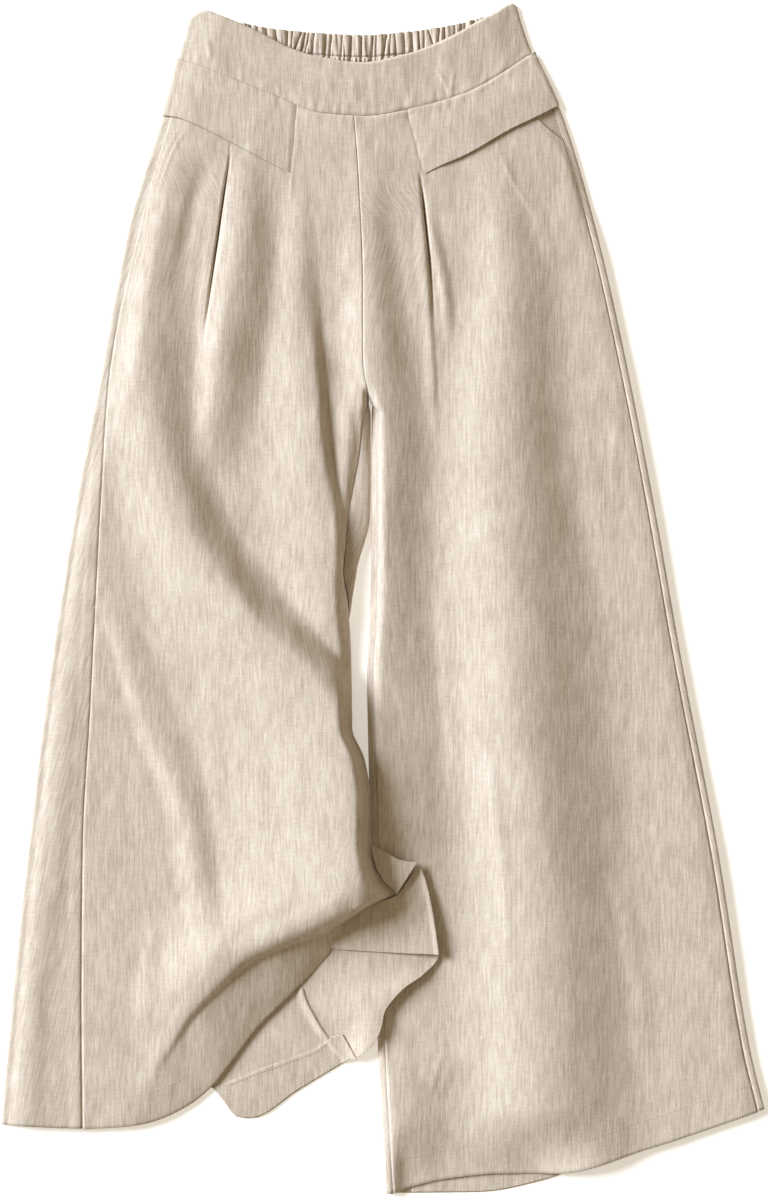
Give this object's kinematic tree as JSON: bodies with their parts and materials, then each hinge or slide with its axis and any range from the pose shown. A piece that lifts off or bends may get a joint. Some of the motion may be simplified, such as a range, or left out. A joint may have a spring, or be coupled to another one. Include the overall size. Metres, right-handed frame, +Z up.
{
  "type": "wide-legged linen palazzo trousers, laid flat",
  "caption": "Wide-legged linen trousers laid flat, with a flat front waistband, gathered elastic back, hip flaps, tucks and one lifted, folded leg.",
  "frame": {"origin": "middle of the garment's outline, on the table that it lies on", "axes": "+Y towards the waist, +X towards the leg on the right as seen from above, +Z up from the table"},
  "size_m": [0.6701, 1.0455, 0.0409],
  "materials": {
    "linen": "matte washed linen, natural beige",
    "linen_inside": "matte wrong side of the same linen"
  },
  "bodies": {
    "root": {"front_leg_left": "linen", "front_leg_right": "linen", "back_leg_left": "linen", "back_leg_right": "linen", "front_waistband": "linen", "back_waistband": "linen", "hip_flap_left": "linen", "hip_flap_right": "linen", "pocket_facing_right": "linen", "front_leg_left_inner_corner": "linen_inside", "front_leg_left_turned_corner": "linen_inside", "front_leg_left_peak": "linen", "back_hem_left": "linen_inside", "back_hem_right": "linen_inside"}
  },
  "joints": []
}
